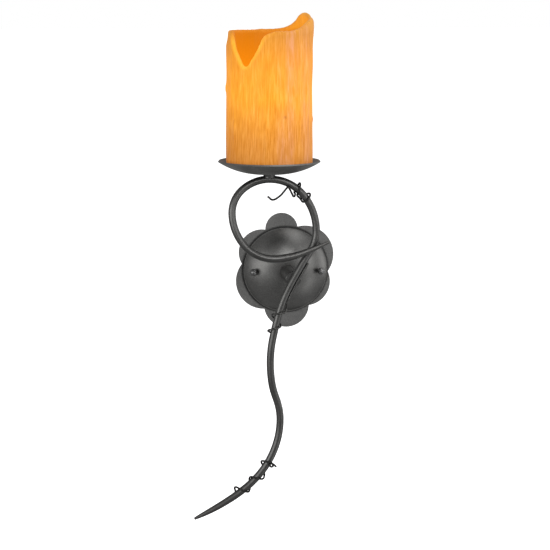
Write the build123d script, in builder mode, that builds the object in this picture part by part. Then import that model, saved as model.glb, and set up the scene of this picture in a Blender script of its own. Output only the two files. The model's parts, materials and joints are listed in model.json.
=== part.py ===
"""Wall sconce: a wax-look candle shade on a scrolled vine bar, held by a domed canopy on a petal plate."""

import math
import os

from build123d import *

os.makedirs("parts", exist_ok=True)

# Sizes are in millimetres and angles in degrees.
# The wall is the plane Y = 0, the front faces -Y, and the origin is the canopy's centre on the wall.

# Clearances between pieces
lift_gap = 0.3  # candle shade over the dish it lifts off
turn_gap = 0.3  # knob or bulb over the face it is screwed down to
thread_gap = 0.1  # all round a stud, a threaded tube or a plug in its hole
weld_gap = 0.05  # coped piece over the bar it is welded to
wind_gap = 0.3  # tendril wire over the bar it is wound on

# Petal plate, cut by hand: angle of each notch and of the petal tip after it, with their reach past the opening
plate_thickness = 1.5
plate_gap = 1.5  # from the crossbars and stud heads to the opening's edge
petals = [
    (-3.6, 4.3, 38.0, 17.0),
    (73.8, 5.8, 93.5, 21.3),
    (116.3, 6.2, 142.0, 15.6),
    (172.0, 5.1, 207.0, 15.6),
    (242.3, 6.4, 271.0, 23.4),
    (303.0, 5.4, 331.0, 11.4),
]

# Canopy dome, just large enough to cover the plate's opening
dome_height = 25.0
dome_sheet = 1.2
land_margin = 0.5  # flat top round the washer
flange_width = 1.0
foot_margin = 0.3  # plate inside the wall that the dome stands on
rim_lift = 2.5  # from the plate to the back of the rim
rim_overhang = 1.5  # rim past the wall that the dome stands on

# Crossbars behind the dome, with slots that suit the two common box screw spacings
bar_width = 19.0
bar_sheet = 2.0
bar_corner = 4.0
slot_width = 4.4
slot_margin = 1.0  # bar past the outer end of a slot
wide_spacing = 88.9
narrow_spacing = 69.85
eyelet_radius = 5.0
eyelet_wall = 1.0
eyelet_flange = 7.5
eyelet_flange_thickness = 1.0
flare_depth = 1.2
ground_screw_offset = 24.0
ground_screw_radius = 1.9
ground_head_radius = 3.6
ground_head_height = 2.2
ground_slot = 0.9

# Canopy studs and knob nuts
stud_spacing = 84.0
stud_margin = 5.0  # bar past a stud's axis
stud_radius = 2.0
stud_head_radius = 3.6
stud_head_height = 1.6
stud_nut_across = 7.0
stud_nut_height = 3.0
knob_radius = 4.5
knob_neck_radius = 2.9
knob_neck_length = 1.6
knob_bore_depth = 6.0

# Post between the dome and the vine bar
scroll_depth = 80.0  # from the wall to the bar's centre line
post_radius = 9.5
post_lap = 3.0  # how far the post's coped end reaches along the bar's side
post_chamfer = 1.0
tube_radius = 4.8  # threaded tubes of the post and of the neck
wireway_radius = 3.2
post_tube_length = 13.0
washer_radius = 10.0
washer_thickness = 1.5
lock_nut_across = 14.0
lock_nut_height = 4.0

# Vine bar: across, up and heading at each point where its bend changes
vine_radius = 4.5
vine_bore = 3.0
candle_across = -29.5
loop_top = 121.0
stem_points = [
    (27.3, 57.5, -90.0),
    (19.5, 33.0, -122.5),
    (0.0, 0.0, -119.5),
    (-18.5, -43.5, -105.5),
    (-28.4, -102.0, -90.0),
    (-21.8, -144.5, -69.5),
    (-16.4, -172.0, -90.0),
    (-32.0, -226.5, -121.5),
    (-60.6, -258.0, -142.5),
]
post_index = 2  # the stem point on the post's axis
tail_tip = (-121.8, -293.4, -156.0)
tail_taper = [(0.0, 1.0), (0.35, 0.93), (0.65, 0.8), (0.85, 0.6), (1.0, 0.34)]

# The coil half of the loop, measured down from the loop's top in a plane that leans forward
coil_points = [
    (-74.6, -40.0, 270.0),
    (-60.5, -78.5, 310.0),
    (-24.0, -95.2, 360.0),
    (-10.0, -93.8, 370.0),
]
coil_tip = (41.5, -76.2, 382.5)
coil_taper = [(0.0, 1.0), (0.4, 0.82), (0.7, 0.63), (1.0, 0.36)]
crossing_drop = 83.0  # from the loop's top down to where the coil's end passes before the bar
crossing_share = 0.65  # of the bar's radius that the coil's end still has there
crossing_gap = 1.0

# Neck and dish
neck_rise = 2.0
neck_radius = 7.8
neck_foot_radius = 6.6
neck_lap = 2.2  # how far the coped foot reaches down beside the bar
dish_radius = 61.0
dish_depth = 14.5
dish_land = 12.0  # radius of the flat middle
dish_sheet = 2.0

# Lamp socket
cap_floor = 2.0
cap_height = 13.0
cap_wall = 1.0
cap_tube_reach = 3.0  # threaded tube above the cap's floor
socket_wall = 1.8  # of the insulating body round the shell
socket_plug_depth = 5.0
socket_height = 31.0  # of the body above the cap
socket_floor = 5.0
shell_gap = 0.7  # from the bulb's base to the screw shell
shell_sheet = 0.5
shell_lip = 8.0  # radius of the opening in the shell's bottom
shell_drop = 1.5  # from the socket's top to the shell's top
contact_width = 5.0
contact_length = 11.0
contact_sheet = 0.6
contact_rise = 4.0

# Bulb
bulb_tip_radius = 4.6
bulb_tip_height = 1.2
insulator_foot = 6.4
insulator_height = 5.0
bulb_base_radius = 12.9
bulb_base_height = 20.0
bulb_base_rounding = 0.5
globe_radius = 24.0
globe_neck = 11.6
globe_rise = 35.0  # from the base's top to the globe's centre
globe_sheet = 0.9

# Candle shade
shade_radius = 51.0
shade_wall = 5.0
shade_height = 158.0  # up to the level part of its rim
peak_angle = 22.0  # round from +X to the rim's peak
peak_half_width = 46.0
peak_shoulder = (12.0, 15.0)
peak_height = 20.3
notch_angle = -125.0
notch_outline = [(-23.5, 0.0), (-19.5, -22.0), (-5.0, -45.5), (20.0, -6.0), (31.0, 0.0)]
notch_rounding = [12.0, 5.0, 14.0]

# Tendril wires
# A turn is a distance along the vine bar from the loop's top, an angle round the bar from its front,
# and a lift that stands the wire out from the bar as an eye
# A free run is given as across, up and forward from the first turn
wire_radius = 0.95
bend_run = 8.0  # length of wire in one tight bend, which is no gap between turns
loop_free_run = [
    (-32.2, -4.0, 0.5),
    (-26.0, -8.0, 0.5),
    (-17.5, -3.4, 1.0),
    (-12.9, 2.0, 2.5),
    (-10.2, 5.6, 3.8),
    (-8.4, 7.4, 4.4),
    (-6.6, 5.4, 4.5),
    (-3.3, -1.0, 4.0),
    (-1.4, -4.0, 3.8),
    (0.4, -1.9, 3.0),
]
loop_turns = [
    (36.8, 90.0, 0.0),
    (35.8, 180.0, 0.0),
    (34.8, 270.0, 1.6),
    (38.4, 360.0, 0.0),
    (43.2, 450.0, 0.4),
    (47.8, 460.0, 0.0),
    (52.2, 450.0, 0.2),
    (53.4, 360.0, 0.0),
    (50.5, 270.0, 1.2),
    (48.2, 180.0, 0.0),
]
stem_turns = [
    (133.5, -68.0, 0.0),
    (145.5, -68.0, 0.0),
    (157.5, -68.0, 0.0),
    (169.5, -68.0, 0.0),
    (181.5, -70.0, 0.0),
    (190.5, -80.0, 0.6),
    (198.5, -90.0, 1.6),
    (203.5, 0.0, 0.0),
    (208.0, 90.0, 1.8),
    (213.5, 180.0, 0.0),
    (218.5, 270.0, 0.2),
    (222.5, 360.0, 0.0),
    (227.3, 450.0, 1.8),
    (231.0, 540.0, 0.0),
]
tail_free_run = [
    (8.6, -6.4, -0.6),
    (3.9, -2.4, -0.8),
    (1.4, -2.7, -0.5),
    (1.4, -5.5, 0.2),
    (3.8, -5.4, 1.0),
    (4.2, -2.9, 2.0),
    (2.4, -0.7, 1.6),
]
tail_turns = [
    (391.6, 0.0, 0.0),
    (396.2, 90.0, 1.6),
    (402.5, 180.0, 0.0),
    (411.4, 270.0, 1.3),
    (416.5, 360.0, 0.0),
    (421.6, 450.0, 0.3),
    (428.0, 540.0, 0.0),
    (434.3, 630.0, 0.2),
    (439.0, 720.0, 0.0),
    (444.6, 810.0, 2.8),
    (449.5, 900.0, 0.0),
]


def directed(plane, nodes):
    """Points in space, and the directions through them, of nodes given as across, up and heading."""
    points = []
    directions = []
    for across, up, heading in nodes:
        turn = math.radians(heading)
        points.append(plane.from_local_coords((across, up)))
        directions.append(plane.x_dir * math.cos(turn) + plane.y_dir * math.sin(turn))
    return points, directions


def arc_line(points, directions):
    """A wire of tangent arcs, two between each point and the next, along the given directions."""
    with BuildLine() as line:
        for i in range(len(points) - 1):
            start, leave = points[i], directions[i]
            end, arrive = points[i + 1], directions[i + 1]
            chord = end - start
            reach = chord.dot(leave + arrive)
            bend = 2 * (1 - leave.dot(arrive))
            if bend > 1e-9:
                handle = (math.sqrt(reach**2 + bend * chord.dot(chord)) - reach) / bend
            else:
                handle = chord.dot(chord) / (2 * reach)
            near = start + leave * handle
            far = end - arrive * handle
            joint = (near + far) * 0.5
            TangentArc(start, joint, tangent=leave)
            TangentArc(joint, end, tangent=far - near)
    return line.wire()


def cross_plane(line, share):
    """The plane square to a line at a share of its length, with its first axis level."""
    along = line % share
    level = Vector(0, 1, 0) - along * along.Y
    return Plane(origin=line @ share, x_dir=level, z_dir=along)


def finish(name, part):
    """Label a finished piece and write it to its own file."""
    part.part.label = name
    export_step(part.part, f"parts/{name}.step")


# Levels and places that follow from the sizes above
stud_across = stud_spacing / 2
stud_hole = stud_radius + thread_gap
tube_hole = tube_radius + thread_gap
box_bar_length = wide_spacing + slot_width + 2 * slot_margin
canopy_bar_length = stud_spacing + 2 * stud_margin
canopy_bar_front = 2 * bar_sheet


def bar_reach(length):
    """How far the rounded corners of a crossbar are from its middle."""
    return math.hypot(length / 2 - bar_corner, bar_width / 2 - bar_corner) + bar_corner


plate_front = plate_thickness
inner_reach = max(bar_reach(box_bar_length), bar_reach(canopy_bar_length), stud_across + stud_head_radius)
plate_opening = inner_reach + plate_gap
foot_inside = plate_opening + foot_margin
foot_outside = foot_inside + dome_sheet
rim_back = plate_front + rim_lift
dome_top = plate_front + dome_height
dome_land = washer_radius + land_margin
dome_radius = foot_outside + rim_overhang
dome_run = dome_radius - flange_width - dome_land
dome_rise = dome_height - rim_lift - dome_sheet
dome_arc = (dome_run**2 + dome_rise**2) / (2 * dome_rise)
dome_turn = math.degrees(math.asin(dome_run / dome_arc))
dish_bottom = loop_top + vine_radius + neck_rise
dish_floor = dish_bottom + dish_sheet
dish_run = dish_radius - dish_land
dish_arc = (dish_run**2 + dish_depth**2) / (2 * dish_depth)
dish_turn = math.degrees(math.asin(dish_run / dish_arc))
cap_bottom = dish_floor + lock_nut_height
cap_top = cap_bottom + cap_height
shell_radius = bulb_base_radius + shell_gap
shell_outside = shell_radius + shell_sheet
socket_plug = shell_outside + thread_gap + socket_wall
cap_radius = socket_plug + thread_gap + cap_wall
socket_bottom = cap_top - socket_plug_depth
socket_top = cap_top + socket_height
shell_floor = socket_bottom + socket_floor
contact_top = shell_floor + contact_rise
bulb_tip = contact_top + turn_gap
insulator_bottom = bulb_tip + bulb_tip_height
base_bottom = insulator_bottom + insulator_height
base_top = base_bottom + bulb_base_height
globe_centre = base_top + globe_rise
shade_seat = math.sqrt((dish_arc - dish_sheet) ** 2 - (shade_radius - dish_land) ** 2)
shade_bottom = dish_bottom + dish_arc - shade_seat + lift_gap
shade_rim = shade_bottom + shade_height

candle_axis = Axis((candle_across, -scroll_depth, 0), (0, 0, 1))
candle_section = Plane(origin=(candle_across, -scroll_depth, 0), x_dir=(1, 0, 0), z_dir=(0, -1, 0))


def candle_level(height):
    """The level plane at a height on the candle's axis."""
    return Plane(origin=(candle_across, -scroll_depth, height))


def dome_front(radius):
    """How far the dome's outside stands from the wall at a radius."""
    run = max(radius - dome_land, 0)
    return dome_top - dome_arc + math.sqrt(dome_arc**2 - run**2)


# Petal plate
def polar(reach, angle):
    """A point of the plate's outline."""
    radius = plate_opening + reach
    return radius * math.cos(math.radians(angle)), radius * math.sin(math.radians(angle))


with BuildPart() as petal_plate:
    with BuildSketch(Plane.XZ):
        with BuildLine():
            for i, (angle, reach, tip_angle, tip_reach) in enumerate(petals):
                next_angle, next_reach = petals[(i + 1) % len(petals)][:2]
                notch = polar(reach, angle)
                tip = polar(tip_reach, tip_angle)
                next_notch = polar(next_reach, next_angle)
                ThreePointArc(notch, tip, next_notch)
        make_face()
        Circle(plate_opening, mode=Mode.SUBTRACT)
    extrude(amount=plate_thickness)
finish("petal_plate", petal_plate)


# Canopy dome: one turned profile from the wall it stands on, round the rim and up to the flat land
dome_centre = (dome_land, -(dome_top - dome_arc))
inside_turn = math.degrees(math.asin((foot_inside - dome_land) / (dome_arc - dome_sheet)))

with BuildPart() as canopy_dome:
    with BuildSketch(Plane.XY):
        with BuildLine():
            outside = CenterArc(dome_centre, dome_arc, 270 + dome_turn, -dome_turn)
            inside = CenterArc(dome_centre, dome_arc - dome_sheet, 270, inside_turn)
            Polyline(
                inside @ 1,
                (foot_inside, -plate_front),
                (foot_outside, -plate_front),
                (foot_outside, -rim_back),
                (dome_radius, -rim_back),
                (dome_radius, -rim_back - dome_sheet),
                outside @ 0,
            )
            Polyline(
                outside @ 1,
                (tube_hole, -dome_top),
                (tube_hole, -dome_top + dome_sheet),
                inside @ 0,
            )
        make_face()
    revolve(axis=Axis.Y)
    with BuildSketch(Plane.XZ):
        with Locations((-stud_across, 0), (stud_across, 0)):
            Circle(stud_hole)
    extrude(amount=dome_top, mode=Mode.SUBTRACT)
finish("canopy_dome", canopy_dome)


# Upright bar on the wiring box
slot_centre = (wide_spacing + narrow_spacing) / 4
slot_length = (wide_spacing - narrow_spacing) / 2 + slot_width

with BuildPart() as box_bar:
    with BuildSketch(Plane.XZ):
        RectangleRounded(bar_width, box_bar_length, bar_corner)
        Circle(eyelet_radius + thread_gap, mode=Mode.SUBTRACT)
        with Locations((0, -slot_centre), (0, slot_centre)):
            SlotOverall(slot_length, slot_width, rotation=90, mode=Mode.SUBTRACT)
    extrude(amount=bar_sheet)
    with BuildSketch(Plane.XY):
        with BuildLine():
            Polyline(
                (0, 0),
                (eyelet_radius + thread_gap + flare_depth, 0),
                (eyelet_radius + thread_gap, -flare_depth),
                (0, -flare_depth),
                close=True,
            )
        make_face()
    revolve(axis=Axis.Y, mode=Mode.SUBTRACT)
finish("box_bar", box_bar)


# Level bar that carries the canopy studs
with BuildPart() as canopy_bar:
    with BuildSketch(Plane.XZ.offset(bar_sheet)):
        RectangleRounded(canopy_bar_length, bar_width, bar_corner)
        Circle(eyelet_radius + thread_gap, mode=Mode.SUBTRACT)
        with Locations((-stud_across, 0), (stud_across, 0)):
            Circle(stud_hole, mode=Mode.SUBTRACT)
        with Locations((ground_screw_offset, 0)):
            Circle(ground_screw_radius + thread_gap, mode=Mode.SUBTRACT)
    extrude(amount=bar_sheet)
finish("canopy_bar", canopy_bar)


# Hollow eyelet that holds the two bars together and lets them swivel
with BuildPart() as bar_eyelet:
    with BuildSketch(Plane.XY):
        with BuildLine():
            Polyline(
                (eyelet_radius - eyelet_wall, 0),
                (eyelet_radius + flare_depth, 0),
                (eyelet_radius, -flare_depth),
                (eyelet_radius, -canopy_bar_front),
                (eyelet_flange, -canopy_bar_front),
                (eyelet_flange, -canopy_bar_front - eyelet_flange_thickness),
                (eyelet_radius - eyelet_wall, -canopy_bar_front - eyelet_flange_thickness),
                close=True,
            )
        make_face()
    revolve(axis=Axis.Y)
finish("bar_eyelet", bar_eyelet)


# Earth screw on the level bar, with a slotted head
with BuildPart() as ground_screw:
    with BuildSketch(Plane.XZ.offset(canopy_bar_front)):
        with Locations((ground_screw_offset, 0)):
            Circle(ground_head_radius)
    extrude(amount=ground_head_height)
    fillet(ground_screw.edges().sort_by(Axis.Y)[0], ground_head_height / 2)
    with BuildSketch(Plane.XZ.offset(canopy_bar_front)):
        with Locations((ground_screw_offset, 0)):
            Circle(ground_screw_radius)
    extrude(amount=-(canopy_bar_front - thread_gap))
    with BuildSketch(Plane.XZ.offset(canopy_bar_front + ground_head_height / 2)):
        with Locations((ground_screw_offset, 0)):
            Rectangle(2 * ground_head_radius, ground_slot)
    extrude(amount=ground_head_height, mode=Mode.SUBTRACT)
finish("ground_screw", ground_screw)


# Studs, their nuts and the knob nuts that hold the dome
knob_base = dome_front(stud_across - knob_neck_radius) + turn_gap
knob_neck_meets = math.sqrt(knob_radius**2 - knob_neck_radius**2)
knob_centre = knob_base + knob_neck_length + knob_neck_meets
stud_end = knob_base + knob_bore_depth - turn_gap

with BuildPart() as canopy_studs:
    for side in (-1, 1):
        with BuildSketch(Plane.XZ.offset(bar_sheet)):
            with Locations((side * stud_across, 0)):
                Circle(stud_head_radius)
        extrude(amount=-stud_head_height)
        with BuildSketch(Plane.XZ.offset(bar_sheet)):
            with Locations((side * stud_across, 0)):
                Circle(stud_radius)
        extrude(amount=stud_end - bar_sheet)
finish("canopy_studs", canopy_studs)

with BuildPart() as stud_nuts:
    with BuildSketch(Plane.XZ.offset(canopy_bar_front)):
        with Locations((-stud_across, 0), (stud_across, 0)):
            RegularPolygon(stud_nut_across / 2, 6, major_radius=False)
            Circle(stud_hole, mode=Mode.SUBTRACT)
    extrude(amount=stud_nut_height)
finish("stud_nuts", stud_nuts)

for name, side in (("knob_nut_left", -1), ("knob_nut_right", 1)):
    knob_plane = Plane(origin=(side * stud_across, 0, 0))
    with BuildPart() as knob:
        with BuildSketch(knob_plane):
            with BuildLine():
                ball = ThreePointArc(
                    (knob_neck_radius, -knob_base - knob_neck_length),
                    (knob_radius, -knob_centre),
                    (0, -knob_centre - knob_radius),
                )
                Polyline(
                    ball @ 1,
                    (0, -knob_base - knob_bore_depth),
                    (stud_hole, -knob_base - knob_bore_depth),
                    (stud_hole, -knob_base),
                    (knob_neck_radius, -knob_base),
                    ball @ 0,
                )
            make_face()
        revolve(axis=Axis(knob_plane.origin, (0, 1, 0)))
    finish(name, knob)


# Vine bar: one run from the coil's tapered end over the loop's top and down to the tail
crossing_reach = vine_radius * (1 + crossing_share) + crossing_gap
lean = math.asin(crossing_reach / crossing_drop)
stem_plane = Plane.XZ.offset(scroll_depth)
coil_plane = Plane(
    origin=(0, -scroll_depth, loop_top),
    x_dir=(1, 0, 0),
    z_dir=(0, -math.cos(lean), math.sin(lean)),
)
stem_nodes = [(candle_across, loop_top, 0.0)] + stem_points
stem_at, stem_along = directed(stem_plane, stem_nodes + [tail_tip])
coil_at, coil_along = directed(coil_plane, [(candle_across, 0.0, 180.0)] + coil_points + [coil_tip])
back_at = list(reversed(coil_at[1:-1]))
back_along = [-direction for direction in reversed(coil_along[1:-1])]

vine_line = arc_line(back_at + stem_at[:-1], back_along + stem_along[:-1])
stem_line = arc_line(stem_at[:-1], stem_along[:-1])
bore_line = arc_line(stem_at[: post_index + 2], stem_along[: post_index + 2])
crown_line = arc_line([coil_at[1]] + stem_at[:2], [-coil_along[1]] + stem_along[:2])
shank_line = arc_line(stem_at[post_index : post_index + 3], stem_along[post_index : post_index + 3])
tail_line = arc_line(stem_at[-2:], stem_along[-2:])
end_line = arc_line(coil_at[-2:], coil_along[-2:])

with BuildPart() as wireway:
    with BuildSketch(cross_plane(bore_line, 0)):
        Circle(vine_bore)
    sweep(path=bore_line)
    with BuildSketch(candle_level(loop_top)):
        Circle(wireway_radius)
    extrude(amount=2 * vine_radius)
    with BuildSketch(stem_plane):
        Circle(wireway_radius)
    extrude(amount=-2 * vine_radius)

with BuildPart() as stem:
    with BuildSketch(cross_plane(vine_line, 0)):
        Circle(vine_radius)
    sweep(path=vine_line)
    for line, taper in ((tail_line, tail_taper), (end_line, coil_taper)):
        for along, share in taper:
            with BuildSketch(cross_plane(line, along)):
                Circle(vine_radius * share)
        loft()
    add(wireway.part, mode=Mode.SUBTRACT)
finish("stem", stem)


# Post: coped over the bar at its front, with a threaded tube through the dome at its back
post_front = scroll_depth - vine_radius + post_lap

with BuildPart() as post:
    with BuildSketch(Plane.XZ.offset(dome_top)):
        Circle(post_radius)
    extrude(amount=post_front - dome_top)
    chamfer(post.edges().group_by(Axis.Y)[0], post_chamfer)
    with BuildSketch(Plane.XZ.offset(dome_top)):
        Circle(tube_radius)
    extrude(amount=-post_tube_length)
    with BuildSketch(Plane.XZ.offset(dome_top - post_tube_length)):
        Circle(wireway_radius)
    extrude(amount=scroll_depth, mode=Mode.SUBTRACT)
    with BuildSketch(cross_plane(shank_line, 0)):
        Circle(vine_radius + weld_gap)
    sweep(path=shank_line, mode=Mode.SUBTRACT)
finish("post", post)

washer_face = dome_top - dome_sheet
with BuildPart() as post_washer:
    with BuildSketch(Plane.XZ.offset(washer_face)):
        Circle(washer_radius)
        Circle(tube_hole, mode=Mode.SUBTRACT)
    extrude(amount=-washer_thickness)
finish("post_washer", post_washer)

with BuildPart() as post_lock_nut:
    with BuildSketch(Plane.XZ.offset(washer_face - washer_thickness)):
        RegularPolygon(lock_nut_across / 2, 6, major_radius=False)
        Circle(tube_hole, mode=Mode.SUBTRACT)
    extrude(amount=-lock_nut_height)
finish("post_lock_nut", post_lock_nut)


# Neck: a flared collar coped over the loop's top, with a threaded tube up through the dish
neck_foot = loop_top + vine_radius - neck_lap
neck_top = cap_bottom + cap_floor + cap_tube_reach

with BuildPart() as neck:
    with BuildSketch(candle_section):
        with BuildLine():
            Polyline(
                (wireway_radius, neck_foot),
                (neck_foot_radius, neck_foot),
                (neck_foot_radius, neck_foot + neck_lap / 2),
                (neck_radius, dish_bottom),
                (tube_radius, dish_bottom),
                (tube_radius, neck_top),
                (wireway_radius, neck_top),
                close=True,
            )
        make_face()
    revolve(axis=candle_axis)
    with BuildSketch(cross_plane(crown_line, 0)):
        Circle(vine_radius + weld_gap)
    sweep(path=crown_line, mode=Mode.SUBTRACT)
finish("neck", neck)


# Dish: a shallow turned bowl with a flat middle
dish_centre = (dish_land, dish_bottom + dish_arc)

with BuildPart() as dish:
    with BuildSketch(candle_section):
        with BuildLine():
            under = CenterArc(dish_centre, dish_arc, 270, dish_turn)
            upper = CenterArc(dish_centre, dish_arc - dish_sheet, 270, dish_turn)
            Line(under @ 1, upper @ 1)
            Polyline(
                upper @ 0,
                (tube_hole, dish_floor),
                (tube_hole, dish_bottom),
                under @ 0,
            )
        make_face()
    revolve(axis=candle_axis)
finish("dish", dish)

with BuildPart() as dish_lock_nut:
    with BuildSketch(candle_level(dish_floor)):
        RegularPolygon(lock_nut_across / 2, 6, major_radius=False)
        Circle(tube_hole, mode=Mode.SUBTRACT)
    extrude(amount=lock_nut_height)
finish("dish_lock_nut", dish_lock_nut)


# Lamp socket: metal cap, insulating body, screw shell and centre contact
with BuildPart() as socket_cap:
    with BuildSketch(candle_section):
        with BuildLine():
            Polyline(
                (tube_hole, cap_bottom),
                (cap_radius, cap_bottom),
                (cap_radius, cap_top),
                (cap_radius - cap_wall, cap_top),
                (cap_radius - cap_wall, cap_bottom + cap_floor),
                (tube_hole, cap_bottom + cap_floor),
                close=True,
            )
        make_face()
    revolve(axis=candle_axis)
finish("socket_cap", socket_cap)

with BuildPart() as socket_body:
    with BuildSketch(candle_section):
        with BuildLine():
            Polyline(
                (0, socket_bottom),
                (socket_plug, socket_bottom),
                (socket_plug, cap_top),
                (cap_radius, cap_top),
                (cap_radius, socket_top),
                (shell_outside + thread_gap, socket_top),
                (shell_outside + thread_gap, shell_floor),
                (0, shell_floor),
                close=True,
            )
        make_face()
    revolve(axis=candle_axis)
finish("socket_body", socket_body)

with BuildPart() as screw_shell:
    with BuildSketch(candle_section):
        with BuildLine():
            Polyline(
                (shell_lip, shell_floor),
                (shell_outside, shell_floor),
                (shell_outside, socket_top - shell_drop),
                (shell_radius, socket_top - shell_drop),
                (shell_radius, shell_floor + shell_sheet),
                (shell_lip, shell_floor + shell_sheet),
                close=True,
            )
        make_face()
    revolve(axis=candle_axis)
finish("screw_shell", screw_shell)

with BuildPart() as centre_contact:
    with BuildSketch(candle_section):
        with BuildLine():
            Polyline(
                (-contact_length / 2, shell_floor),
                (contact_length / 2, shell_floor),
                (contact_length / 2, shell_floor + contact_sheet),
                (contact_sheet - contact_length / 2, shell_floor + contact_sheet),
                (contact_sheet - contact_length / 2, contact_top - contact_sheet),
                (contact_length / 4, contact_top - contact_sheet),
                (contact_length / 4, contact_top),
                (-contact_length / 2, contact_top),
                close=True,
            )
        make_face()
    extrude(amount=contact_width / 2, both=True)
finish("centre_contact", centre_contact)


# Bulb: contact tip, glass insulator, screw base and glass globe
with BuildPart() as bulb_contact:
    with BuildSketch(candle_level(bulb_tip)):
        Circle(bulb_tip_radius)
    extrude(amount=bulb_tip_height)
    fillet(bulb_contact.edges().sort_by(Axis.Z)[0], bulb_tip_height / 2)
finish("bulb_contact", bulb_contact)

with BuildPart() as bulb_insulator:
    with BuildSketch(candle_section):
        with BuildLine():
            Polyline(
                (0, insulator_bottom),
                (insulator_foot, insulator_bottom),
                (bulb_base_radius - bulb_base_rounding, base_bottom),
                (0, base_bottom),
                close=True,
            )
        make_face()
    revolve(axis=candle_axis)
finish("bulb_insulator", bulb_insulator)

with BuildPart() as bulb_base:
    with BuildSketch(candle_level(base_bottom)):
        Circle(bulb_base_radius)
    extrude(amount=bulb_base_height)
    fillet(bulb_base.edges(), bulb_base_rounding)
finish("bulb_base", bulb_base)

globe_inside = globe_radius - globe_sheet
neck_inside = globe_neck - globe_sheet
neck_level = globe_centre - math.sqrt(globe_radius**2 - globe_neck**2)
inner_level = globe_centre - math.sqrt(globe_inside**2 - neck_inside**2)

with BuildPart() as bulb_globe:
    with BuildSketch(candle_section):
        with BuildLine():
            outer = ThreePointArc(
                (globe_neck, neck_level),
                (globe_radius, globe_centre),
                (0, globe_centre + globe_radius),
            )
            inner = ThreePointArc(
                (neck_inside, inner_level),
                (globe_inside, globe_centre),
                (0, globe_centre + globe_inside),
            )
            Line(outer @ 1, inner @ 1)
            Polyline(
                inner @ 0,
                (neck_inside, base_top),
                (globe_neck, base_top),
                outer @ 0,
            )
        make_face()
    revolve(axis=candle_axis)
finish("bulb_globe", bulb_globe)


# Candle shade: a tube with a rim that rises to a peak at the back and melts into a notch at the front
def facing(angle):
    """The upright plane on the candle's axis that faces a direction, with its origin at the rim's level."""
    turn = math.radians(angle)
    return Plane(
        origin=(candle_across, -scroll_depth, shade_rim),
        x_dir=(-math.sin(turn), math.cos(turn), 0),
        z_dir=(math.cos(turn), math.sin(turn), 0),
    )


shade_inside = shade_radius - shade_wall
over_rim = peak_height + shade_wall

with BuildPart() as rim_peak:
    with BuildSketch(candle_level(shade_rim)):
        Circle(shade_radius)
        Circle(shade_inside, mode=Mode.SUBTRACT)
    extrude(amount=peak_height)
    with BuildSketch(facing(peak_angle)):
        with BuildLine():
            shoulder_across, shoulder_up = peak_shoulder
            TangentArc(
                (-peak_half_width, 0),
                (-shoulder_across, shoulder_up),
                tangent=(1, 0),
            )
            ThreePointArc(
                (-shoulder_across, shoulder_up),
                (0, peak_height),
                (shoulder_across, shoulder_up),
            )
            TangentArc(
                (peak_half_width, 0),
                (shoulder_across, shoulder_up),
                tangent=(-1, 0),
            )
            Line((-peak_half_width, 0), (peak_half_width, 0))
        make_face()
    extrude(amount=shade_radius, mode=Mode.INTERSECT)

with BuildPart() as candle_shade:
    with BuildSketch(candle_level(shade_bottom)):
        Circle(shade_radius)
        Circle(shade_inside, mode=Mode.SUBTRACT)
    extrude(amount=shade_height)
    add(rim_peak.part)
    with BuildSketch(facing(notch_angle)):
        with BuildLine():
            first_across = notch_outline[0][0]
            last_across = notch_outline[-1][0]
            flank = FilletPolyline(*notch_outline, radius=notch_rounding)
            Polyline(flank @ 1, (last_across, over_rim), (first_across, over_rim), flank @ 0)
        make_face()
    extrude(amount=2 * shade_radius, mode=Mode.SUBTRACT)
finish("candle_shade", candle_shade)


# Tendril wires, each one unbroken run of tangent arcs
whole_stem = arc_line(stem_at, stem_along)
wound_radius = vine_radius + wind_gap + wire_radius


def wound(turns):
    """Points beside the bar, and the directions of a wire that winds through them."""
    front = Vector(0, -1, 0)
    stations = []
    for i, (distance, angle, lift) in enumerate(turns):
        before_distance, before_angle, _ = turns[max(i - 1, 0)]
        after_distance, after_angle, _ = turns[min(i + 1, len(turns) - 1)]
        share = distance / whole_stem.length
        along = whole_stem % share
        side = along.cross(front)
        turn = math.radians(angle)
        outward = front * math.cos(turn) + side * math.sin(turn)
        onward = side * math.cos(turn) - front * math.sin(turn)
        point = whole_stem @ share + outward * (wound_radius + lift)
        swing = math.radians(after_angle - before_angle) * wound_radius
        direction = onward * swing + along * (after_distance - before_distance)
        stations.append((point, direction.normalized()))
    return stations


def free_run(places, first_turn):
    """Points and directions of a wire's free end, which leads up to its first turn."""
    points = [first_turn + Vector(across, -forward, up) for across, up, forward in places]
    beyond = points + [first_turn]
    stations = []
    for i, point in enumerate(points):
        direction = beyond[i + 1] - beyond[max(i - 1, 0)]
        stations.append((point, direction.normalized()))
    return stations


loop_wound = wound(loop_turns)
tail_wound = wound(tail_turns)
wire_runs = [
    free_run(loop_free_run, loop_wound[0][0]) + loop_wound,
    wound(stem_turns),
    free_run(tail_free_run, tail_wound[0][0]) + tail_wound,
]

with BuildPart() as tendrils:
    for stations in wire_runs:
        wire_line = arc_line([point for point, _ in stations], [direction for _, direction in stations])
        with BuildSketch(Plane(origin=wire_line @ 0, z_dir=wire_line % 0)):
            Circle(wire_radius)
        sweep(path=wire_line)
        count = round(wire_line.length)
        spots = [wire_line @ (i / count) for i in range(count + 1)]
        apart = round(bend_run)
        gap = min(
            (spots[i] - spots[j]).length - 2 * wire_radius
            for i in range(count + 1)
            for j in range(i + apart, count + 1)
        )
        print(f"tendril length {wire_line.length:.0f} mm, least gap to itself {gap:.2f} mm")
finish("tendrils", tendrils)
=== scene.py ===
"""Wall sconce: finishes, wax shade, wire tendrils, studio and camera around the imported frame."""
import json
import math

import bpy
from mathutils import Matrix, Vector
from mathutils.kdtree import KDTree


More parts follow.
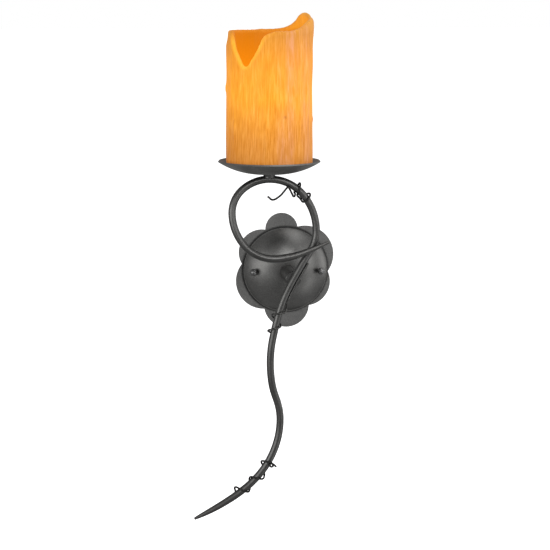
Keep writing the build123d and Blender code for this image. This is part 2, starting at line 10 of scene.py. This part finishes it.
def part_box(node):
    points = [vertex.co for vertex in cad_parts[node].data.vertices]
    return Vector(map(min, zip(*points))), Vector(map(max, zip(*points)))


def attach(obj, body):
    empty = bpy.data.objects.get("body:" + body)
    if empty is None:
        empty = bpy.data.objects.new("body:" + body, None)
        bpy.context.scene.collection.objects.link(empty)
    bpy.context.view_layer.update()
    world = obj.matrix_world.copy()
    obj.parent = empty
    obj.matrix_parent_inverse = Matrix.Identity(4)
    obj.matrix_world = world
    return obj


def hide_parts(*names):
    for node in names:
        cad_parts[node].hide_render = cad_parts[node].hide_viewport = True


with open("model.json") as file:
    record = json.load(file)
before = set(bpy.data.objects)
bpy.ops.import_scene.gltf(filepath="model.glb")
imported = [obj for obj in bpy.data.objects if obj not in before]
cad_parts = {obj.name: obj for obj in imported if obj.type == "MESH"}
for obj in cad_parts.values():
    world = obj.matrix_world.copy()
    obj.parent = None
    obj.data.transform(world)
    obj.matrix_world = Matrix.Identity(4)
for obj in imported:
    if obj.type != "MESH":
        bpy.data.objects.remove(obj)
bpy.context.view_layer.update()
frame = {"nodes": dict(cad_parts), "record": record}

# Camera, found from the photograph: metres, and degrees to the left and above
camera_aim = Vector((-0.02265, -0.080, 0.00546))
camera_distance = 2.2
camera_left = 7.2
camera_above = 9.0
camera_lens = 120.0
camera_sensor = 36.0

# Wax shade, in metres
shade_low, shade_high = (Vector(corner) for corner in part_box("candle_shade"))
shade_axis = Vector(((shade_low.x + shade_high.x) / 2, (shade_low.y + shade_high.y) / 2, 0.0))
shade_radius = (shade_high.x - shade_low.x) / 2
shade_wall = 0.005
shade_level = 0.158  # from the foot up to the level part of the rim
shade_rim = shade_low.z + shade_level
lip_depth = 0.06  # how far under the level rim its edge is looked for
lip_slant = 0.4  # the most that a face on the edge still faces inwards or outwards
wax_voxel = 0.00115
wax_smoothing = 26
wax_swell_size = 0.035
wax_swell_stretch = 2.0
wax_swell_depth = 0.0022
wax_swell_detail = 1
wax_streak_size = 0.0034
wax_streak_stretch = 12.0
wax_streak_depth = 0.0007
wax_streak_detail = 2
# Runs of wax on the outside: angle round the shade, height of the middle, half length and half width
wax_runs = [
    (18.0, 0.276, 0.010, 0.0030),
    (8.0, 0.203, 0.007, 0.0022),
    (-2.0, 0.192, 0.006, 0.0026),
    (176.0, 0.229, 0.009, 0.0026),
    (-150.0, 0.181, 0.016, 0.0028),
    (-62.0, 0.238, 0.022, 0.0030),
    (-35.0, 0.214, 0.026, 0.0032),
    (-100.0, 0.170, 0.018, 0.0028),
    (60.0, 0.247, 0.018, 0.0030),
    (105.0, 0.205, 0.024, 0.0032),
    (140.0, 0.251, 0.014, 0.0026),
]
run_stand = 0.0017  # how far a run stands out from the wall
run_segments = 16
run_rings = 12
# Places where the wall has set unevenly: angle round the shade, height over the rim, reach, and how far
# the wall has gone outwards, clockwise round the axis and upwards there
wax_slumps = [
    (176.0, 0.003, 0.020, -0.0038, 0.0, -0.0016),
    (3.0, -0.002, 0.024, 0.0022, 0.0, 0.0),
    (-48.0, -0.003, 0.028, -0.0012, 0.0, 0.0),
    (-20.0, 0.002, 0.040, 0.0, 0.0, 0.0100),
    (-152.0, -0.006, 0.024, 0.0, 0.0026, 0.0),
    (-99.0, 0.000, 0.026, 0.0, 0.0034, 0.0),
]
# A darker spot on the front of the wall: angle round the shade, depth under the rim and reach
wax_dark_spot = (-75.8, 0.099, 0.0028)
wax_pale = -58.0  # angle round the shade where the wax is paler
pale_edge = (0.84, 0.98)  # cosines of the angles from there between which the paleness sets in
# Where the wax turns from one colour to the next
inside_depth = (0.55, 0.85)  # shares of the wall, from its outside inwards
inside_fade = (-0.005, 0.003)  # over the level rim, where the deep colour and painted glow of the inside end
notch_fade = (-0.014, -0.002)  # over the level rim, where the painted pale light on the lip of the notch ends
lip_fade = (0.0018, 0.0052)  # from the edge, across the painted pale light on the lip
peak_fade = (0.0012, 0.0045)  # from the edge, inside the peak

# Tendril wires
wire_voxel = 0.0003
wire_smoothing = 6
wire_coat = 0.0003  # paint on the wire
wire_names = ["tendril_loop", "tendril_stem", "tendril_tail"]

# Painted shade on the plate in the crease round the dome: width, unevenness and how dark it is outwards
crease_width = 0.0032
crease_shade_jitter = 0.0005
crease_shade_tones = [(0.3, (0.30, 0.30, 0.30)), (1.0, (1.0, 1.0, 1.0))]

# Studio, in metres and watts
floor_level = -0.42
floor_size = 60.0
floor_glow = 0.95
# Soft lights that face the sconce: place, width, height, power and spread in degrees
studio_lights = {
    "left_light": ((-1.52, -1.30, 0.17), 1.8, 1.0, 16.5, 180.0),
    "front_light": ((0.28, -1.87, 0.75), 0.8, 0.6, 10.0, 180.0),
    "right_light": ((1.49, -1.34, 0.45), 1.0, 1.2, 8.0, 180.0),
    "side_light": ((1.99, 0.30, 0.3), 0.6, 1.6, 8.0, 180.0),
    "top_light": ((0.5, -0.5, 1.9), 1.9, 1.2, 14.0, 180.0),
    "low_light": ((0.55, -0.5, -0.38), 0.6, 0.6, 0.12, 40.0),
}
lamp_power = 0.08
lamp_colour = (1.0, 0.62, 0.25)
lamp_radius = 0.03
world_glow = 0.4  # on the sconce, while the camera sees plain white behind it
white = (1.0, 1.0, 1.0, 1.0)


def outwards(angle):
    """The way straight out from the shade's axis at an angle round it."""
    turn = math.radians(angle)
    return Vector((math.cos(turn), math.sin(turn), 0.0))


def only(piece):
    """Select one object alone and make it active."""
    bpy.ops.object.select_all(action="DESELECT")
    piece.select_set(True)
    bpy.context.view_layer.objects.active = piece


def edit_all(piece):
    """Open a piece in edit mode with all of it selected."""
    only(piece)
    bpy.ops.object.mode_set(mode="EDIT")
    bpy.ops.mesh.select_all(action="SELECT")


def copied(node, name):
    """A merged copy of a CAD node's mesh as a new piece."""
    piece = bpy.data.objects.new(name, frame["nodes"][node].data.copy())
    bpy.context.scene.collection.objects.link(piece)
    edit_all(piece)
    bpy.ops.mesh.remove_doubles(threshold=1e-6)
    bpy.ops.object.mode_set(mode="OBJECT")
    return piece


def modified(piece, kind, **settings):
    """Add a modifier with the given settings and apply it."""
    only(piece)
    bpy.ops.object.modifier_add(type=kind)
    modifier = piece.modifiers[-1]
    for setting, value in settings.items():
        setattr(modifier, setting, value)
    bpy.ops.object.modifier_apply(modifier=modifier.name)


def displaced(piece, size, stretch, depth, detail):
    """Push a piece's surface in and out by soft noise, which is drawn out along Z by the stretch."""
    texture = bpy.data.textures.new(f"{piece.name}_relief", type="CLOUDS")
    texture.noise_scale = 1.0
    texture.noise_depth = detail
    bpy.ops.object.empty_add(location=shade_axis)
    guide = bpy.context.object
    guide.scale = (size, size, size * stretch)
    bpy.context.view_layer.update()
    modified(
        piece,
        "DISPLACE",
        texture=texture,
        texture_coords="OBJECT",
        texture_coords_object=guide,
        strength=depth,
        mid_level=0.5,
    )
    bpy.data.objects.remove(guide)


def finished(piece, body, slot, material, *nodes):
    """Give a piece its finish and its body, and hide the CAD nodes that it stands for."""
    only(piece)
    bpy.ops.object.shade_smooth()
    piece.data.materials.clear()
    piece.data.materials.append(material)
    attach(piece, body)
    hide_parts(*nodes)


class Finish:
    """A material of one shader, with helpers for its texture nodes."""

    def __init__(self, name, **sockets):
        self.material = bpy.data.materials.new(name)
        self.material.use_nodes = True
        self.tree = self.material.node_tree
        self.shader = self.tree.nodes["Principled BSDF"]
        self.place = self.tree.nodes.new("ShaderNodeTexCoord").outputs["Object"]
        for socket, value in sockets.items():
            self.shader.inputs[socket.replace("_", " ")].default_value = value

    def node(self, kind, inputs=(), **settings):
        """A node with its settings and its inputs, each a value or another node's output."""
        made = self.tree.nodes.new(kind)
        for setting, value in settings.items():
            setattr(made, setting, value)
        for socket, value in dict(inputs).items():
            if isinstance(value, bpy.types.NodeSocket):
                self.tree.links.new(value, made.inputs[socket])
            else:
                made.inputs[socket].default_value = value
        return made

    def noise(self, size, stretch=(1.0, 1.0, 1.0), detail=4.0, roughness=0.55, distortion=0.0):
        """Noise whose features are about a size in metres, drawn out along each axis by the stretch."""
        scale = tuple(1.0 / (size * along) for along in stretch)
        placed = self.node("ShaderNodeMapping", {"Vector": self.place, "Scale": scale})
        noise = self.node(
            "ShaderNodeTexNoise",
            {
                "Vector": placed.outputs["Vector"],
                "Scale": 1.0,
                "Detail": detail,
                "Roughness": roughness,
                "Distortion": distortion,
            },
        )
        return noise.outputs["Fac"]

    def ramp(self, value, stops):
        """Colours along a value from 0 to 1."""
        ramp = self.node("ShaderNodeValToRGB", {"Fac": value})
        elements = ramp.color_ramp.elements
        while len(elements) < len(stops):
            elements.new(1.0)
        for element, (position, colour) in zip(elements, stops):
            element.position = position
            element.color = (*colour, 1.0)
        return ramp.outputs["Color"]

    def span(self, value, low, high, to_low=0.0, to_high=1.0):
        """A value read from one range into another."""
        inputs = {"Value": value, "From Min": low, "From Max": high, "To Min": to_low, "To Max": to_high}
        return self.node("ShaderNodeMapRange", inputs).outputs["Result"]

    def combined(self, first, second, operation="ADD"):
        """Two values added, or joined by another operation."""
        return self.node("ShaderNodeMath", {0: first, 1: second}, operation=operation).outputs["Value"]

    def reach(self, first, second):
        """The length of two values that stand square to each other."""
        first_square, second_square = (self.combined(value, 2.0, "POWER") for value in (first, second))
        return self.combined(self.combined(first_square, second_square), 0.5, "POWER")

    def mix(self, share, first, second, blend="MIX"):
        """Two colours mixed by a share."""
        mixed = self.node("ShaderNodeMix", data_type="RGBA", blend_type=blend)
        for socket, value in ((0, share), (6, first), (7, second)):
            if isinstance(value, bpy.types.NodeSocket):
                self.tree.links.new(value, mixed.inputs[socket])
            elif socket == 0:
                mixed.inputs[socket].default_value = value
            else:
                mixed.inputs[socket].default_value = (*value, 1.0)
        return mixed.outputs[2]

    def bump(self, height, depth, strength=1.0, under=None):
        """A bump of a real depth in metres, over another bump if there is one."""
        inputs = {"Height": height, "Distance": depth, "Strength": strength}
        if under is not None:
            inputs["Normal"] = under
        return self.node("ShaderNodeBump", inputs).outputs["Normal"]

    def link(self, **sockets):
        """Join outputs to the shader's sockets."""
        for socket, output in sockets.items():
            self.tree.links.new(output, self.shader.inputs[socket.replace("_", " ")])


def iron_paint(name, dark, light, smooth, rough, crease=None):
    """Satin dark iron: cloudy charcoal with fine grain, with painted shade in a crease at a radius from the
    Y axis.
    """
    finish = Finish(name, Metallic=1.0)
    clouds = finish.noise(0.03, detail=5.0)
    grain = finish.noise(0.0011, detail=3.0)
    tone = finish.ramp(clouds, [(0.3, dark), (0.7, light)])
    specks = finish.ramp(grain, [(0.35, (0.8, 0.8, 0.8)), (0.65, (1.12, 1.12, 1.11))])
    if crease is not None:
        # Painted shade: a darker ring on the plate just outside the dome's edge
        parts = finish.node("ShaderNodeSeparateXYZ", {"Vector": finish.place}).outputs
        edge_jitter = finish.span(grain, 0.3, 0.7, -crease_shade_jitter, crease_shade_jitter)
        radius = finish.combined(finish.reach(parts["X"], parts["Z"]), edge_jitter)
        past = finish.span(radius, crease, crease + crease_width)
        tone = finish.mix(1.0, tone, finish.ramp(past, crease_shade_tones), blend="MULTIPLY")
    finish.link(
        Base_Color=finish.mix(1.0, tone, specks, blend="MULTIPLY"),
        Roughness=finish.span(grain, 0.3, 0.7, smooth, rough),
        Normal=finish.bump(grain, 0.00006, 0.5, finish.bump(clouds, 0.0004, 0.3)),
    )
    return finish.material


def wax():
    """Lit amber wax: vertical streaks, a painted glow by height, painted pale light along the lip and a deep
    orange inside with a painted glow of its own.
    """
    finish = Finish(
        "wax",
        IOR=1.44,
        Specular_IOR_Level=0.18,
        Sheen_Weight=0.14,
        Sheen_Roughness=0.4,
        Sheen_Tint=(1.0, 0.9, 0.8, 1.0),
        Emission_Strength=1.0,
    )
    threads = finish.noise(0.0012, stretch=(1.0, 1.0, 18.0), detail=2.0, roughness=0.55)
    streaks = finish.noise(0.0040, stretch=(1.0, 1.0, 6.0), detail=4.0, roughness=0.65)
    bands = finish.noise(0.014, stretch=(1.0, 1.0, 9.0), detail=2.0)
    patches = finish.noise(0.016, stretch=(1.0, 1.0, 1.5), detail=5.0, roughness=0.6)
    centred = finish.node("ShaderNodeMapping", {"Vector": finish.place, "Location": -shade_axis})
    parts = finish.node("ShaderNodeSeparateXYZ", {"Vector": centred.outputs["Vector"]}).outputs
    radius = finish.reach(parts["X"], parts["Y"])
    height = finish.span(parts["Z"], shade_low.z, shade_high.z)
    over_rim = finish.combined(parts["Z"], shade_rim, "SUBTRACT")
    within = finish.span(radius, *(shade_radius - shade_wall * share for share in inside_depth))
    inside = finish.combined(within, finish.span(over_rim, *inside_fade, 1.0, 0.0), "MULTIPLY")
    # A darker spot on the front of the wall, which darkens the outer glow there
    turn, depth, reach = wax_dark_spot
    dark_spot_place = shade_axis + outwards(turn) * shade_radius + Vector((0.0, 0.0, shade_rim - depth))
    to_dark_spot = finish.node("ShaderNodeVectorMath", {0: finish.place, 1: dark_spot_place}, operation="DISTANCE")
    dark_spot_span = finish.span(to_dark_spot.outputs["Value"], 0.0, reach)
    dark_spot = finish.ramp(dark_spot_span, [(0.25, (0.62, 0.42, 0.25)), (1.0, (1.0, 1.0, 1.0))])
    lip = finish.node("ShaderNodeAttribute", attribute_name="lip").outputs["Fac"]
    # Painted light: a paler glow along the lip of the notch, and a given glow on the inner face of the peak
    in_notch = finish.span(over_rim, *notch_fade, 1.0, 0.0)
    on_lip = finish.combined(finish.span(lip, *lip_fade, 0.9, 0.0), in_notch, "MULTIPLY")
    in_peak = finish.combined(finish.span(lip, *peak_fade), within, "MULTIPLY")

    skin = finish.ramp(
        streaks, [(0.3, (0.38, 0.145, 0.014)), (0.5, (0.44, 0.180, 0.022)), (0.7, (0.50, 0.235, 0.050))]
    )
    pale_way = outwards(wax_pale) / shade_radius
    turned = finish.node(
        "ShaderNodeVectorMath", {0: centred.outputs["Vector"], 1: pale_way}, operation="DOT_PRODUCT"
    )
    pale_side = finish.span(turned.outputs["Value"], *pale_edge)
    pale = finish.combined(pale_side, finish.span(bands, 0.3, 0.6), "MULTIPLY")
    blush = finish.ramp(pale, [(0.0, (1.0, 0.98, 0.75)), (0.8, (0.97, 1.05, 2.9))])
    frosting = finish.ramp(threads, [(0.42, (0.97, 0.96, 0.72)), (0.68, (1.04, 1.10, 1.75))])
    skin = finish.mix(1.0, finish.mix(1.0, skin, blush, blend="MULTIPLY"), frosting, blend="MULTIPLY")
    glow = finish.ramp(
        height,
        [
            (0.0, (0.25, 0.078, 0.016)),
            (0.18, (0.385, 0.124, 0.013)),
            (0.45, (0.70, 0.265, 0.012)),
            (0.7, (0.58, 0.205, 0.010)),
            (0.86, (0.355, 0.126, 0.013)),
            (1.0, (0.35, 0.175, 0.032)),
        ],
    )
    mottle = finish.ramp(patches, [(0.3, (0.92, 0.84, 0.72)), (0.7, (1.08, 1.12, 1.1))])
    veins = finish.ramp(threads, [(0.34, (0.70, 0.48, 0.25)), (0.66, (1.17, 1.38, 2.0))])
    veined = finish.span(height, 0.1, 0.5, 1.0, 0.42)
    outer_glow = finish.mix(veined, finish.mix(1.0, glow, mottle, blend="MULTIPLY"), veins, blend="MULTIPLY")
    outer_glow = finish.mix(1.0, outer_glow, dark_spot, blend="MULTIPLY")
    lit_peak = finish.mix(in_peak, outer_glow, (0.50, 0.195, 0.006))
    lit_lip = finish.mix(on_lip, lit_peak, (0.74, 0.335, 0.025))
    # Painted glow of the lamp on the inside of the wall, brightest low down
    inner_glow = finish.ramp(
        height, [(0.3, (0.92, 0.365, 0.016)), (0.66, (0.56, 0.205, 0.002)), (0.9, (0.26, 0.108, 0.0))]
    )
    finish.link(
        Base_Color=finish.mix(inside, skin, (0.40, 0.10, 0.004)),
        Emission_Color=finish.mix(inside, lit_lip, inner_glow),
        Roughness=finish.span(patches, 0.3, 0.7, 0.42, 0.58),
        Normal=finish.bump(threads, 0.0005, 0.5),
    )
    return finish.material


def plated(name, light, dark, roughness):
    """A plain metal with faint drawn lines and cloudy wear."""
    finish = Finish(name, Metallic=1.0)
    lines = finish.noise(0.0006, stretch=(1.0, 1.0, 12.0), detail=2.0)
    wear = finish.noise(0.008, detail=4.0)
    low, high = roughness
    finish.link(
        Base_Color=finish.ramp(wear, [(0.35, dark), (0.65, light)]),
        Roughness=finish.span(wear, 0.3, 0.7, high, low),
        Normal=finish.bump(lines, 0.00004, 0.5),
    )
    return finish.material


def moulded_black():
    """Matt black moulding with a fine grain."""
    finish = Finish("moulded_black", IOR=1.5)
    grain = finish.noise(0.0007, detail=3.0)
    dust = finish.noise(0.01, detail=4.0)
    finish.link(
        Base_Color=finish.ramp(dust, [(0.35, (0.014, 0.013, 0.012)), (0.7, (0.032, 0.030, 0.028))]),
        Roughness=finish.span(grain, 0.3, 0.7, 0.42, 0.6),
        Normal=finish.bump(grain, 0.00006, 0.5),
    )
    return finish.material


def frosted_glass():
    """Lit frosted glass: a warm glow that fades towards the base, through a fine frost."""
    finish = Finish("frosted_glass", Roughness=0.35, IOR=1.5, Emission_Strength=0.5)
    frost = finish.noise(0.0008, detail=3.0)
    low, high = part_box("bulb_globe")
    parts = finish.node("ShaderNodeSeparateXYZ", {"Vector": finish.place}).outputs
    level = finish.span(parts["Z"], low[2], high[2])
    fade = finish.ramp(
        level, [(0.0, (0.30, 0.17, 0.05)), (0.3, (0.62, 0.42, 0.18)), (0.7, (1.0, 0.72, 0.36))]
    )
    sparkle = finish.ramp(frost, [(0.3, (0.9, 0.9, 0.9)), (0.7, (1.05, 1.05, 1.05))])
    finish.link(
        Base_Color=finish.ramp(frost, [(0.3, (0.40, 0.36, 0.29)), (0.7, (0.50, 0.46, 0.38))]),
        Emission_Color=finish.mix(1.0, fade, sparkle, blend="MULTIPLY"),
        Normal=finish.bump(frost, 0.00005, 0.6),
    )
    return finish.material


def slumped(shade):
    """Push the wall where it has set unevenly, as a soft pull on its nearest point."""
    points = shade.data.vertices
    wall = KDTree(len(points))
    for point in points:
        wall.insert(point.co, point.index)
    wall.balance()
    for angle, height, reach, push, slide, lift in wax_slumps:
        out = outwards(angle)
        round_axis = Vector((out.y, -out.x, 0.0))
        place = shade_axis + out * shade_radius + Vector((0.0, 0.0, shade_rim + height))
        edit_all(shade)
        bpy.ops.mesh.select_all(action="DESELECT")
        bpy.ops.object.mode_set(mode="OBJECT")
        points[wall.find(place)[1]].select = True
        bpy.ops.object.mode_set(mode="EDIT")
        bpy.ops.transform.translate(
            value=out * push + round_axis * slide + Vector((0.0, 0.0, lift)),
            use_proportional_edit=True,
            proportional_edit_falloff="SMOOTH",
            proportional_size=reach,
        )
        bpy.ops.object.mode_set(mode="OBJECT")


def mark_lip(shade):
    """Keep each point's distance to the upper edge, where the wall turns over, as the attribute lip."""
    points = shade.data.vertices
    turned = []
    for point in points:
        out = (point.co - shade_axis) * Vector((1.0, 1.0, 0.0))
        if point.co.z > shade_rim - lip_depth and abs(point.normal.dot(out.normalized())) < lip_slant:
            turned.append(point.co)
    edge = KDTree(len(turned))
    for index, place in enumerate(turned):
        edge.insert(place, index)
    edge.balance()
    lip = shade.data.attributes.new("lip", "FLOAT", "POINT")
    lip.data.foreach_set("value", [edge.find(point.co)[2] for point in points])


def wax_shade(material):
    """The candle shade: the turned tube with runs of wax, softened edges and a streaked skin."""
    shade = copied("candle_shade", "candle_wax")
    edit_all(shade)
    bpy.ops.mesh.select_all(action="DESELECT")
    for angle, middle, half_length, half_width in wax_runs:
        reach = shade_radius + run_stand - half_width
        place = shade_axis + outwards(angle) * reach + Vector((0.0, 0.0, middle))
        bpy.ops.mesh.primitive_uv_sphere_add(
            segments=run_segments, ring_count=run_rings, radius=half_width, location=place
        )
        bpy.ops.transform.resize(value=(1.0, 1.0, half_length / half_width), center_override=place)
        bpy.ops.mesh.select_all(action="DESELECT")
    bpy.ops.object.mode_set(mode="OBJECT")
    modified(shade, "REMESH", mode="VOXEL", voxel_size=wax_voxel, adaptivity=0.0)
    modified(shade, "SMOOTH", factor=0.5, iterations=wax_smoothing)
    displaced(shade, wax_swell_size, wax_swell_stretch, wax_swell_depth, wax_swell_detail)
    displaced(shade, wax_streak_size, wax_streak_stretch, wax_streak_depth, wax_streak_detail)
    slumped(shade)
    mark_lip(shade)
    finished(shade, "candle", "wax", material, "candle_shade")


def tendril_wires(materials):
    """The three wound wires from the top down, each a piece of its own with rounded ends and a finish."""
    wound = copied("tendrils", "tendrils_copy")
    edit_all(wound)
    bpy.ops.mesh.separate(type="LOOSE")
    bpy.ops.object.mode_set(mode="OBJECT")
    wires = sorted(bpy.context.selected_objects, key=lambda wire: -max(v.co.z for v in wire.data.vertices))
    for wire, name, material in zip(wires, wire_names, materials):
        wire.name = name
        modified(wire, "REMESH", mode="VOXEL", voxel_size=wire_voxel, adaptivity=0.0)
        modified(wire, "SMOOTH", factor=0.5, iterations=wire_smoothing)
        modified(wire, "DISPLACE", strength=wire_coat, mid_level=0.0)
        finished(wire, "sconce", "iron", material, "tendrils")


def dress_nodes(finishes):
    """Give each CAD node the finish of its slot."""
    slot_of = {part["node"]: part["material_slot"] for part in frame["record"]["subparts"]}
    for name, node in frame["nodes"].items():
        node.data.materials.clear()
        node.data.materials.append(finishes[slot_of[name]])


def dress(material, *names):
    """Give some CAD nodes a finish of their own."""
    for name in names:
        node = frame["nodes"][name]
        node.data.materials.clear()
        node.data.materials.append(material)


def studio():
    """Pale floor, soft lights in front, above and to both sides, the lit lamp and a pale world."""
    bpy.ops.object.select_all(action="DESELECT")
    bpy.ops.mesh.primitive_plane_add(size=floor_size, location=(camera_aim.x, 0.0, floor_level))
    floor = bpy.context.object
    floor.name = "floor"
    finish = Finish("floor_paper", Roughness=0.9, Emission_Color=white, Emission_Strength=floor_glow)
    fibres = finish.noise(0.004, detail=3.0)
    finish.link(Base_Color=finish.ramp(fibres, [(0.3, (0.86, 0.86, 0.86)), (0.7, (0.9, 0.9, 0.9))]))
    floor.data.materials.append(finish.material)
    floor.visible_diffuse = False
    floor.visible_glossy = False

    for name, (place, width, height, power, spread) in studio_lights.items():
        bpy.ops.object.light_add(type="AREA", location=place)
        light = bpy.context.object
        light.name = name
        light.data.shape = "RECTANGLE"
        light.data.size = width
        light.data.size_y = height
        light.data.energy = power
        light.data.spread = math.radians(spread)
        light.visible_camera = False
        light.rotation_euler = (camera_aim - Vector(place)).to_track_quat("-Z", "Y").to_euler()
    low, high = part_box("bulb_globe")
    bpy.ops.object.light_add(type="POINT", location=[(a + b) / 2 for a, b in zip(low, high)])
    lamp = bpy.context.object
    lamp.name = "lamp_light"
    lamp.data.energy = lamp_power
    lamp.data.color = lamp_colour
    lamp.data.shadow_soft_size = lamp_radius

    world = bpy.data.worlds.new("studio")
    bpy.context.scene.world = world
    world.use_nodes = True
    tree = world.node_tree
    back = tree.nodes["Background"]
    seen = tree.nodes.new("ShaderNodeBackground")
    seen.inputs["Color"].default_value = white
    back.inputs["Color"].default_value = white
    back.inputs["Strength"].default_value = world_glow
    path = tree.nodes.new("ShaderNodeLightPath")
    either = tree.nodes.new("ShaderNodeMixShader")
    tree.links.new(path.outputs["Is Camera Ray"], either.inputs[0])
    tree.links.new(back.outputs[0], either.inputs[1])
    tree.links.new(seen.outputs[0], either.inputs[2])
    tree.links.new(either.outputs[0], tree.nodes["World Output"].inputs["Surface"])
    bpy.context.scene.view_settings.view_transform = "Standard"


def camera():
    """The photograph's camera."""
    left, above = math.radians(camera_left), math.radians(camera_above)
    away = Vector((-math.sin(left) * math.cos(above), -math.cos(left) * math.cos(above), math.sin(above)))
    bpy.ops.object.camera_add(location=camera_aim + away * camera_distance)
    made = bpy.context.object
    made.rotation_euler = (-away).to_track_quat("-Z", "Y").to_euler()
    made.data.lens = camera_lens
    made.data.sensor_width = camera_sensor
    bpy.context.scene.camera = made


finishes = {
    "iron": iron_paint("iron_paint", (0.108, 0.107, 0.105), (0.142, 0.141, 0.138), 0.40, 0.48),
    "wax": wax(),
    "zinc": plated("zinc_plate", (0.66, 0.67, 0.68), (0.50, 0.51, 0.53), (0.28, 0.42)),
    "brass": plated("brass", (0.80, 0.62, 0.30), (0.62, 0.45, 0.20), (0.24, 0.38)),
    "phenolic": moulded_black(),
    "lamp_metal": plated("lamp_metal", (0.78, 0.78, 0.78), (0.62, 0.62, 0.63), (0.25, 0.36)),
    "glass": frosted_glass(),
}
dress_nodes(finishes)

# Copies of the iron paint, their tones set piece by piece to how bright each looks under the light, which
# paints light and shade into them, and some with a gloss of their own
dome_low, dome_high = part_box("canopy_dome")
dome_radius = (dome_high[0] - dome_low[0]) / 2
plate_paint = iron_paint(
    "plate_paint", (0.147, 0.146, 0.144), (0.184, 0.183, 0.180), 0.50, 0.60, crease=dome_radius
)
dome_paint = iron_paint("dome_paint", (0.125, 0.124, 0.121), (0.162, 0.161, 0.157), 0.38, 0.46)
dish_paint = iron_paint("dish_paint", (0.172, 0.170, 0.163), (0.216, 0.213, 0.206), 0.46, 0.54)
# The knobs' lighter paint is a painted highlight; their lower roughness gives them more gloss
knob_paint = iron_paint("knob_paint", (0.15, 0.15, 0.15), (0.18, 0.18, 0.18), 0.30, 0.34)
bar_paint = iron_paint("bar_paint", (0.084, 0.083, 0.081), (0.108, 0.107, 0.105), 0.32, 0.40)
wire_black = iron_paint("wire_black", (0.028, 0.028, 0.027), (0.040, 0.040, 0.039), 0.36, 0.46)
# The stem's wire gets a lighter copy of the wire paint: painted light where that wire is lit
wire_lit_grey = iron_paint("wire_lit_grey", (0.062, 0.061, 0.060), (0.084, 0.083, 0.081), 0.30, 0.40)

dress(plate_paint, "petal_plate")
dress(dome_paint, "canopy_dome")
dress(dish_paint, "dish")
dress(knob_paint, "knob_nut_left", "knob_nut_right")
dress(bar_paint, "stem", "neck", "post")
wax_shade(finishes["wax"])
tendril_wires([wire_black, wire_lit_grey, wire_black])
studio()
camera()
